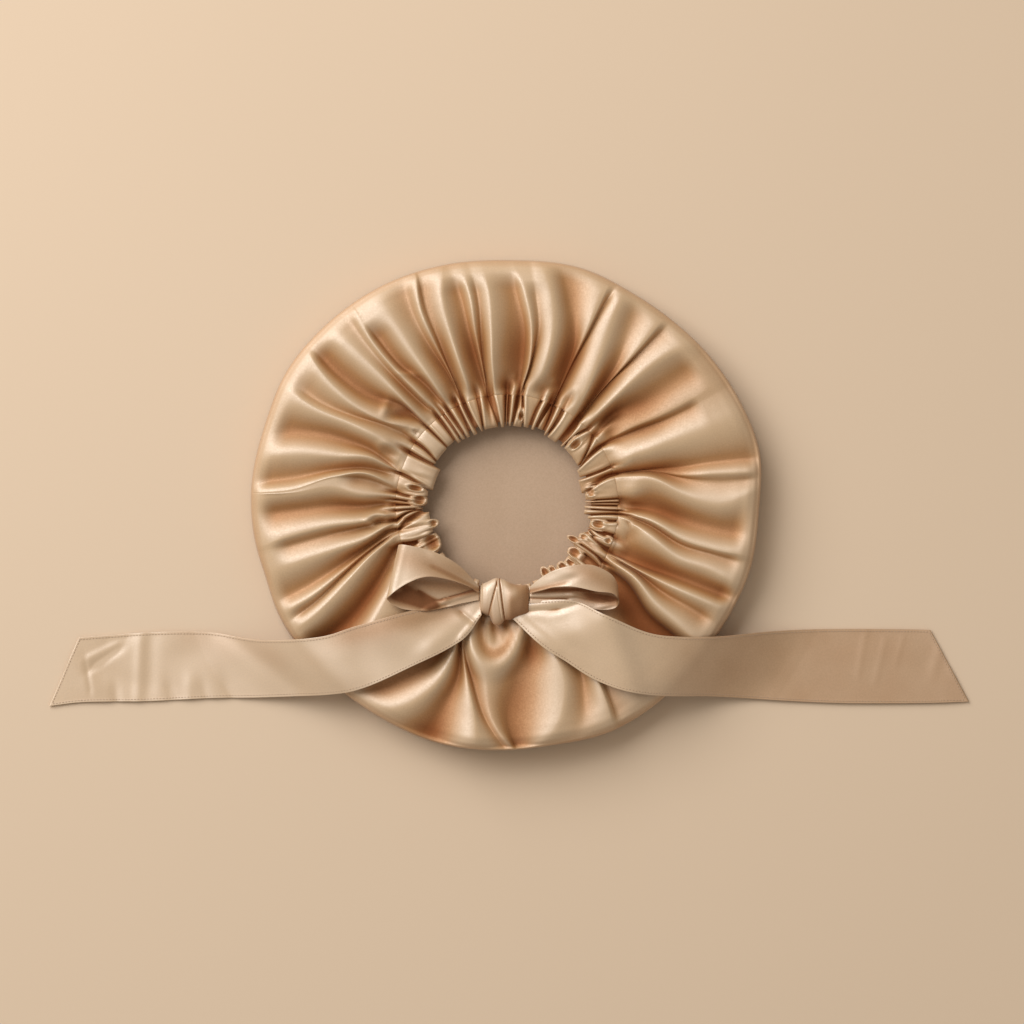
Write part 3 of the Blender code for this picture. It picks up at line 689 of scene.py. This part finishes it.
KNOT_CREASES = [
    # side of the tuck that a crease follows (0 left, 1 right), how far to the right of it,
    # half width, height
    (0, 0.0, 0.42, -1.1), (1, 0.0, 0.42, -1.5), (1, -1.2, 0.50, 0.5), (1, -2.1, 0.35, -0.5),
]
KNOT_SWELL = (4, -59, 4, 5, 0.9)  # x, y, half width, half length, height
KNOT_PAINTED_HIGHLIGHT = (3, -57, 3, 4, -0.2)  # the same for a painted highlight, a paler patch, with how much paler
KNOT_CORNERS, KNOT_LEAN = 0.9, 0.16  # under 1 it is squarer than an oval; its top leans back
TUCK_SINK, TUCK_SINK_WIDTH = 0.5, 2.5  # how far it sinks left of the tuck, and over what width
KNOT_UNEVEN = 0.25
LOWER_SHADE, RIGHT_SHADE = 0.3, 0.36  # painted shade towards its lower edge, and right of the tuck
RIGHT_FROM, RIGHT_OVER = -3, 5  # x where the latter begins, and over which it comes in
KNOT_ROUNDS, KNOT_SIDES = 130, 110  # of the mesh, along the bow and round the knot


def patch(x, y, middle_x, middle_y, half_width, half_length, amount):
    """An amount that fades out round a middle."""
    across, along = (x - middle_x) / half_width, (y - middle_y) / half_length
    return amount * np.exp(-across ** 2 - along ** 2)


turns = np.linspace(0, 2 * np.pi, KNOT_SIDES, endpoint=False)
along = (1 - np.cos(np.linspace(0, np.pi, KNOT_ROUNDS))) / 2
x = (KNOT[0][0] + (KNOT[-1][0] - KNOT[0][0]) * along)[:, None] + 0 * turns
upper_y, lower_y, top, under = (from_table(KNOT, k, x) for k in (1, 2, 3, 4))
around, rise = np.cos(turns), np.sin(turns)
y = (upper_y - lower_y) / 2 * np.sign(around) * abs(around) ** KNOT_CORNERS
y = (upper_y + lower_y) / 2 + y
y = y + KNOT_LEAN * (upper_y - lower_y) / 2 * np.clip(rise, 0, 1) ** 2
z = (top + under) / 2 + (top - under) / 2 * np.sign(rise) * abs(rise) ** KNOT_CORNERS
tuck = [x - from_table(KNOT_TUCK, k, y) for k in (1, 2)]
press = sum(
    height * np.exp(-((tuck[side] - off) / half) ** 2) for side, off, half, height in KNOT_CREASES
)
press += np.where(tuck[0] < 0, -TUCK_SINK * np.exp(tuck[0] / TUCK_SINK_WIDTH), 0)
press += KNOT_UNEVEN * ripple(x / 4.5 + 9, y / 16 + 20, seed=21) + patch(x, y, *KNOT_SWELL)
z = z + press * np.clip(rise, 0, 1)
points = np.stack([x, y, z], axis=-1)
ends = [points[k:k + 1] * 0 + points[k].mean(0) for k in (0, len(points) - 1)]
points = np.concatenate([ends[0], points, ends[1]])
# Painted shade darkens it in its creases, towards its lower edge and right of the tuck, and a painted
# highlight lightens one patch.
down = np.clip((upper_y - y) / (upper_y - lower_y), 0, 1)
right = np.clip((x - RIGHT_FROM) / RIGHT_OVER, 0, 1)
painted_shade = np.clip(-press - 0.5, 0, 1) + LOWER_SHADE * down ** 2 + RIGHT_SHADE * right
painted_shade = painted_shade + patch(x, y, *KNOT_PAINTED_HIGHLIGHT)
painted_shade = np.concatenate([painted_shade[:1], painted_shade, painted_shade[-1:]])
# The ribbon's own colour, then two painted shade colours for its creases and hollows.
RIBBON_COLOUR_AND_SHADES = [(0.70, 0.49, 0.305), (0.50, 0.26, 0.105), (0.33, 0.12, 0.03)]
ribbon_satin = satin("ribbon_satin", RIBBON_COLOUR_AND_SHADES, roughness=0.44, turn=0)
knot = cloth("bow_knot", points, ribbon_satin, closed_round=True, shade=painted_shade)
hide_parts("knot")


# ----------------------------------------------------------------- the loops
# The two loops of the bow: 46 mm satin ribbon with a narrow woven hem along both edges,
# doubled back on itself and gathered into the knot.

LOOP_LEFT = [
    # back edge x, y, z, front edge x, y, z
    (-19.6, -53.2, 31.5, -19.6, -57, 32),
    (-30.7, -41.1, 35.5, -29.3, -51.8, 37),
    (-41.3, -33.8, 39.2, -42.7, -47.8, 40.8),
    (-54, -28.8, 41, -54.5, -46.8, 42.3),
    (-65, -26.4, 41.2, -66.5, -51.1, 41.9),
    (-71.2, -25.7, 38.6, -77.4, -58.6, 39.4),
    (-71.8, -27.5, 34.8, -79.6, -62, 35.4),
    (-65, -32, 31.2, -71.5, -67.5, 33),
    (-54, -36, 29, -60, -69.2, 32),
    (-41, -42, 27.4, -46.5, -68.2, 30.6),
    (-30, -50, 26.6, -31, -64.6, 29.2),
    (-19.6, -57.2, 27.2, -19.6, -62.4, 28.2),
]
LOOP_RIGHT = [
    # back edge x, y, z, front edge x, y, z
    (13.6, -53.6, 31.5, 13.6, -57.6, 32),
    (20, -48.2, 34.5, 21, -55.6, 36),
    (28.5, -43, 38, 30, -53.4, 39.6),
    (40, -39.6, 40.6, 42, -53.2, 41.8),
    (54, -39, 41, 56.7, -56.2, 42.3),
    (66, -44.5, 39.5, 67.5, -57.6, 41.2),
    (70.8, -51, 36.5, 72, -62, 38),
    (70, -55, 33.2, 70.4, -67, 34.6),
    (60, -49, 31, 61.5, -68.6, 32.2),
    (45, -47.5, 29.4, 46, -66.5, 30.4),
    (30, -49.5, 28, 30, -64.8, 29.2),
    (13.6, -56, 27.2, 13.6, -64.2, 28.2),
]
LOOP_CREASES = [
    # a crease's two ends x, y, x, y, its half width, height, first and last station it is on
    (-20, -54.5, -48, -41, 2.6, -1, 0, 5), (-20, -55.8, -56, -49.5, 1.1, -0.7, 0, 5),
    (-24, -49, -48, -33.5, 2.2, 0.8, 0, 5), (-70, -30, -76, -56, 3.2, 0.8, 3, 6),
    (-62.7, -50, -56.5, -57.8, 2.4, -1.4, 6, 11), (-56.5, -57.8, -44, -64.2, 2, -1.4, 6, 11),
    (-58, -53, -34, -55.5, 3.5, 1.6, 7, 11), (-52.7, -67.4, -42.7, -63.3, 1.3, 1.3, 7, 11),
    (-42.7, -63.3, -20, -56.6, 1.3, 1.3, 7, 12), (-44, -61.8, -22, -55.4, 0.7, -1.2, 7, 12),
    (14, -56, 40, -48, 2.6, -1, 0, 5), (14, -56.5, 36, -51.5, 1.1, -0.6, 0, 5),
    (33, -42, 52, -47, 4.5, 0.9, 0, 5), (14, -59.4, 42, -58.6, 1, 1.3, 6, 12),
    (42, -58.6, 61, -62.5, 1.2, 1.3, 6, 11), (16, -60.9, 37, -61.6, 0.8, -1.6, 7, 12),
    (52, -60, 66, -62, 3.4, -1.2, 6, 10), (62, -66, 69, -64.5, 1.3, 1, 6, 9),
]
LOOP_SHADES = [
    # where a loop is in shade: a line's two ends x, y, x, y, its half width, depth of
    # the shade, first and last station it is on
    (-73, -60, -57, -64.5, 4, 1, 5.8, 12), (-67, -55, -60, -60, 3.6, 0.8, 5.8, 12),
    (-56, -62.5, -50, -65, 2.2, 0.7, 6, 12), (-44, -62.6, -22, -56.2, 0.8, 0.7, 7, 12),
    (-58, -52, -24, -55.5, 4, 0.3, 6, 12), (55, -60, 66, -61.5, 3.4, 0.9, 5.8, 12),
    (22, -55.6, 54, -55.3, 1.5, 0.9, 6, 12), (16, -61.1, 35, -61.3, 0.8, 0.9, 6, 12),
    (16, -57.6, 40, -57.2, 0.5, 0.4, 6, 12), (-62, -36, -36, -45, 9, 0.28, 0, 5),
    (56, -46, 70, -54, 9, 0.32, 1, 6),
]
SPAN_FADE = 0.4  # stations over which a crease comes and goes
TURNED_SHADE, TURNED_HEM = 0.1, 0.4  # of the turned cloth: its painted shade, share of its hem's height
CREASE_SHADE, SHADE_BELOW = 0.6, 0.4  # painted shade of a crease, for each mm deeper than the second
LOOP_STEPS, TAIL_STEPS = 150, 300  # rows of the meshes
LOOP_CREASING = 0.8  # share of the heights above with which the creases show
LOOP_TURNS = (5.6, 6.6)  # stations between which a loop turns over
RIBBON_WALL = 0.9
HEM_RISE, HEM_FLAT, HEM_END = 0.10, 1.4, 2.4  # height, width at that height, width in all
HEM_DIP, HEM_DIP_INSET, HEM_DIP_HALF = 0.07, 1.5, 0.35  # pressed in along it
HEM_CELLS = [0, 0.005, 0.014, 0.024, 0.036, 0.050, 0.066, 0.085]
RIBBON_ACROSS = np.array(
    HEM_CELLS + list(np.linspace(0.12, 0.88, 26)) + [1 - v for v in HEM_CELLS[::-1]]
)


def pressed(points, creases, stations=None):
    """How far the creases in a table raise or lower each point."""
    x, y, rise = points[..., 0], points[..., 1], 0
    for x0, y0, x1, y1, half, height, *span in creases:
        long = math.hypot(x1 - x0, y1 - y0)
        along = ((x - x0) * (x1 - x0) + (y - y0) * (y1 - y0)) / long
        off = ((x - x0) * (y1 - y0) - (y - y0) * (x1 - x0)) / long
        past = np.maximum(abs(along - long / 2) - long / 2, 0) / (2 * half + 1)
        crease = height * np.exp(-(off / half) ** 2 - past ** 2)
        if span:
            crease = crease * eased(span[0] - SPAN_FADE, span[0], stations)
            crease = crease * (1 - eased(span[1], span[1] + SPAN_FADE, stations))
        rise = rise + crease
    return rise


def ribbon_rows(edges, steps):
    """Rows of points across a ribbon whose two edges pass through a table of stations."""
    size = len(edges[0]) // 2
    stations = np.arange(len(edges))
    where = np.linspace(0, len(edges) - 1, steps + 1)
    ends = np.stack([through(stations, column(edges, c), where) for c in range(2 * size)], -1)
    across = RIBBON_ACROSS[None, :, None]
    return ends[:, None, :size] * (1 - across) + ends[:, None, size:] * across, where[:, None]


def hem(points):
    """Height of the woven hem along a ribbon's two edges, with the dip beside it."""
    wide = np.linalg.norm(points[:, -1] - points[:, 0], axis=-1)[:, None]
    edge = wide * np.minimum(RIBBON_ACROSS, 1 - RIBBON_ACROSS)
    dip = HEM_DIP * np.exp(-((edge - HEM_DIP_INSET) / HEM_DIP_HALF) ** 2)
    return HEM_RISE * (1 - eased(HEM_FLAT, HEM_END, edge)) - dip


# side is the side of its points to which a loop's cloth thickens. The hem is pressed flatter
# and seen from its back once the loop has turned over.
for name, edges, side, seen_width in (
    ("loop_left", LOOP_LEFT, -1, 0.030), ("loop_right", LOOP_RIGHT, 1, 0.021)
):
    points, stations = ribbon_rows(edges, LOOP_STEPS)
    lower = eased(*LOOP_TURNS, stations)
    rise = LOOP_CREASING * pressed(points, LOOP_CREASES, stations)
    points[..., 2] += rise + hem(points) * (1 - 2 * lower) * np.where(lower == 0, 1, TURNED_HEM)
    # Painted shade on the turned strand, along the shade lines and in the creases.
    painted_shade = TURNED_SHADE * lower + pressed(points, LOOP_SHADES, stations)
    painted_shade = painted_shade + np.clip(-rise - SHADE_BELOW, 0, 1) * CREASE_SHADE
    loop = cloth(name + "_ribbon", points, ribbon_satin, wall=side * RIBBON_WALL, shade=painted_shade)
    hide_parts(name)


# ----------------------------------------------------------------- the tails
# The ribbon's two free ends: 46 mm satin ribbon with a stitched hem, cut on the slant. They
# slide down over the crown and lie flat on the table.

TAIL_LEFT = [
    # upper edge x, y and lift off the crown, lower edge x, y and lift
    (-18.8, -60.8, 0, -18, -72, 0),
    (-38, -66, 0, -32, -89.1, 0),
    (-62.7, -69.1, 0, -62.7, -105.1, 0),
    (-99.7, -79.1, 0, -93, -119, 0),
    (-124.7, -86.5, 0, -118, -124.5, 0),
    (-165.3, -89.1, 0, -165.3, -127.8, 0),
    (-200, -84.5, 0, -200, -128.5, 0),
    (-235.3, -84.5, 0, -240, -130.5, 0),
    (-264, -86.5, 0, -282, -131.1, 0),
    (-286.7, -88.1, 0, -306.4, -133.8, 0),
]
TAIL_RIGHT = [
    # upper edge x, y and lift off the crown, lower edge x, y and lift
    (12.4, -63.4, 0, 2.6, -74.8, 0),
    (42, -62.5, 4.6, 20, -91, 0),
    (62, -71.1, 5.2, 36, -101.5, 0),
    (90, -83.1, 1, 59, -115.5, 0),
    (112, -86.3, 0, 90, -124, 0),
    (140, -86.3, 0, 134, -126.5, 0),
    (175, -83.7, 0, 177, -129.8, 0),
    (213, -82.5, 0, 221, -131.8, 0),
    (260, -82.6, 0, 274, -131.8, 0),
    (280.7, -83.1, 0, 306.4, -130.9, 0),
]
DRAPE = [
    # distance inside (+) or outside (-) the rim, height of the ribbon's underside there
    (-56, 0), (-46, 0.8), (-34, 3.8), (-22, 9), (-10, 16.2), (0, 22.4),
    (6, 26.2), (14, 29), (24, 30.6), (36, 31.6), (54, 32), (70, 31),
    (84, 28), (100, 26),
]
TAIL_CREASES = [
    # a crease's two ends x, y, x, y, its half width and height
    (-29.5, -72, -23, -77, 2.2, -1.6), (-18, -71.5, -30, -85, 2.2, 1.1),
    (-21, -66, -52, -76, 4.5, -0.7), (-24, -70, -50, -92, 6, 1.2),
    (-76, -80, -52, -96, 15, 2.8), (-97, -84, -92, -112, 11, -0.8),
    (-190, -83, -142, -118, 7, -1.1), (-172, -96, -118, -112, 15, 1.2),
    (-245.5, -92, -247, -126, 3.5, 0.45), (-238, -92, -239, -118, 5, -0.5),
    (-222, -96, -210, -112, 12, 0.9), (-290, -104, -281, -116, 7, 0.9),
    (-278, -101, -263, -93, 2.6, 0.55), (-277, -108, -262, -98, 2.6, -0.5),
    (-282, -106, -279, -122, 1.6, -0.45), (-262, -126, -261, -132, 3.5, -0.6),
    (-225, -124, -223, -131, 4, -0.55), (-203, -123, -201, -130, 3.5, -0.5),
    (-187, -122, -183, -129, 4, -0.55), (-213, -122, -213, -130, 4, 0.5),
    (-268, -112, -252, -118, 7, -0.5), (-257, -88, -266, -94, 5, -0.5),
    (13, -69.5, 31, -68.6, 2.2, -1), (31, -68.6, 44, -64.8, 2.4, -0.8),
    (13, -66.5, 40, -62.8, 2.4, 0.5), (11, -73, 40, -92, 5, -0.8),
    (10, -76, 30, -94, 3, 0.8), (64, -76, 77, -112, 10, 4.2), (66, -78, 84, -114, 20, 2.5),
    (44, -80, 52, -98, 8, -0.7), (120, -92, 128, -120, 13, -0.5),
    (160, -90, 175, -122, 12, 0.7), (237, -88, 233, -110, 2, 0.2),
    (250, -92, 244, -116, 1.8, 0.18), (262, -90, 258, -104, 1.8, 0.15),
    (288, -94, 284, -106, 4, 0.35),
]
TAIL_SHADES = [
    # a stretch that is turned away from the light: a line's two ends x, y, x, y, its half
    # width, depth of the shade
    (-100, -84, -44, -69, 9, 0.30), (-205, -86, -160, -98, 10, 0.10),
]
TAIL_WAVE, DEEPEST_CREASE = 0.9, 1.4  # height of the slight waves; how deep creases press in
ABOVE_TABLE = 0.2  # least gap under a tail
FAR_SHADE, FAR_SHADE_FROM, FAR_SHADE_TO = 0.24, 70, 150  # painted shade on the right tail's end, coming in over this x
STITCH_LENGTH, STITCH_PITCH, STITCH_INSET, THREAD = 1.3, 2.1, 1.5, 0.5
STITCHES_FROM = 2.0  # distance from the first and last stitch of a line to its ends
THREAD_SIDES, THREAD_RAISED = 6, 0.1  # share of its thickness by which it lies above the cloth
THREAD_ROUNDS = [
    # place along a stitch from its middle, share of the thread's thickness
    (-0.5, 0.35), (-0.42, 1.0), (0.42, 1.0), (0.5, 0.35),
]
THREAD_COLOURS = [(0.46, 0.29, 0.16), (0.42, 0.25, 0.12), (0.36, 0.2, 0.08)]
thread = satin("thread", THREAD_COLOURS, roughness=0.6, spread=0)


def beside_edge(points):
    """A line as far in from a ribbon's first column of points as its stitches are."""
    lengths = np.linalg.norm(np.diff(points, axis=1), axis=-1).cumsum(axis=1)
    lengths = np.insert(lengths, 0, 0, axis=1)
    return np.array(
        [
            [np.interp(STITCH_INSET, length, row[:, k]) for k in range(3)]
            for row, length in zip(points, lengths)
        ]
    )


def stitches(name, lines):
    """One thread mesh of the straight stitches that show along the lines of points."""
    turns = np.arange(THREAD_SIDES) * 2 * math.pi / THREAD_SIDES
    vertices, faces = [], []
    for line in lines:
        along = np.concatenate([[0], np.linalg.norm(np.diff(line, axis=0), axis=-1).cumsum()])
        for start in np.arange(STITCHES_FROM, along[-1] - STITCHES_FROM, STITCH_PITCH):
            cuts = (start, start + STITCH_LENGTH)
            ends = np.stack([np.interp(cuts, along, line[:, c]) for c in range(3)], axis=-1)
            run = ends[1] - ends[0]
            beside = np.array([-run[1], run[0], 0]) / np.hypot(run[0], run[1])
            above = np.cross(run / np.linalg.norm(run), beside)
            centre, lifted = ends.sum(axis=0) / 2, above * (RIBBON_WALL + THREAD_RAISED * THREAD)
            first = len(vertices)
            for place, thick in THREAD_ROUNDS:
                middle = centre + run * place + lifted
                for turn in turns:
                    out = beside * math.cos(turn) + above * math.sin(turn)
                    vertices.append((middle + out * thick * THREAD / 2) * MM)
            ring = np.arange(THREAD_SIDES)
            for low in range(first, len(vertices) - THREAD_SIDES, THREAD_SIDES):
                corners = [low + ring, low + (ring + 1) % THREAD_SIDES]
                corners += [corners[1] + THREAD_SIDES, corners[0] + THREAD_SIDES]
                faces += np.stack(corners, axis=1).tolist()
            faces.append((first + ring[::-1]).tolist())
            faces.append((len(vertices) - THREAD_SIDES + ring).tolist())
    mesh = bpy.data.meshes.new(name)
    mesh.from_pydata(vertices, [], faces)
    mesh.materials.append(thread)
    mesh.shade_smooth()
    piece = placed(name, mesh)
    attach(piece, "root")
    return piece


def drape_height(x, y):
    """Height at which a tail lies: over the crown, down past its rim and along the table."""
    off_x, off_y = x - CROWN_MIDDLE[0], y - CROWN_MIDDLE[1]
    inside = rim_radius(np.degrees(np.arctan2(off_y, off_x))) - np.hypot(off_x, off_y)
    return np.maximum(from_table(DRAPE, 1, inside), 0)


for name, edges, side in (("tail_left", TAIL_LEFT, 1), ("tail_right", TAIL_RIGHT, -1)):
    rows, _ = ribbon_rows(edges, TAIL_STEPS)
    x, y, lift = np.moveaxis(rows, -1, 0)
    rise = pressed(rows, TAIL_CREASES)
    waves = 0.5 + 0.5 * ripple(x / 24 + 40, y / 17 + 40, seed=31)
    height = drape_height(x, y) + lift + np.maximum(rise, -DEEPEST_CREASE) + TAIL_WAVE * waves
    height = np.maximum(height, 0.02) + ABOVE_TABLE + hem(rows[..., :2])
    points = np.stack([x, y, height], axis=-1)
    # Painted shade in the deeper creases, on stretches turned away from the light and on the right
    # tail's end.
    painted_shade = 0.7 * np.clip(-rise - 0.9, 0, 1) + pressed(rows, TAIL_SHADES)
    painted_shade = painted_shade + FAR_SHADE * eased(FAR_SHADE_FROM, FAR_SHADE_TO, x)
    tail = cloth(name + "_ribbon", points, ribbon_satin, wall=side * RIBBON_WALL, shade=painted_shade)
    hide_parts(name)
    from_end = points.swapaxes(0, 1)[:, ::-1]
    seam_lines = [beside_edge(side_in) for side_in in (points, points[:, ::-1], from_end)]
    seam = stitches(name + "_stitches", seam_lines)


# --------------------------------------------------- table, light and camera
# A plain pale table top, one large soft light high on the left and a warm fill, and a
# camera straight above with a long lens.

TABLE_SIZE, TABLE_GAP = 6, 0.0004  # metres; the cloth stays clear of the table by the gap
bpy.ops.mesh.primitive_plane_add(size=TABLE_SIZE, location=(0, 0, -TABLE_GAP))
table = bpy.context.object
table.name = "table_top"
paint = bpy.data.materials.new("table_paint")
paint.use_nodes = True
paint_nodes = paint.node_tree.nodes
paint_shader = paint_nodes["Principled BSDF"]
mottle = paint_nodes.new("ShaderNodeTexNoise")
dial(mottle, Scale=9)
shades = paint_nodes.new("ShaderNodeValToRGB")
shades.color_ramp.elements[0].color = (0.66, 0.51, 0.37, 1)
shades.color_ramp.elements[1].color = (0.70, 0.54, 0.395, 1)
dial(shades, Fac=mottle.outputs["Fac"])
dial(paint_shader, Roughness=0.85, Base_Color=shades.outputs["Color"])
table.data.materials.append(paint)

KEY_PLACE, KEY_SIZE = Vector((-1.5, 1.5, 1.92)), 2.3
key_light = bpy.data.lights.new("key_light", "AREA")
key_light.size = KEY_SIZE
key_light.energy = 91
key_light.color = (1.0, 0.995, 0.985)
lamp = placed("key_light", key_light)
lamp.location = KEY_PLACE
lamp.rotation_euler = (-KEY_PLACE).to_track_quat("-Z", "Y").to_euler()

world = bpy.data.worlds.new("studio")
world.use_nodes = True
dial(world.node_tree.nodes["Background"], Color=(1.0, 0.93, 0.82, 1), Strength=0.40)
bpy.context.scene.world = world

VIEW_WIDTH, CAMERA_HEIGHT = 0.6827, 1.9  # width of the table that fills the picture
camera_data = bpy.data.cameras.new("camera")
camera_data.sensor_width = 36
camera_data.lens = camera_data.sensor_width * CAMERA_HEIGHT / VIEW_WIDTH
camera = placed("camera", camera_data)
camera.location = (0.002, -0.0045, CAMERA_HEIGHT)
bpy.context.scene.camera = camera
bpy.context.scene.view_settings.view_transform = "Standard"
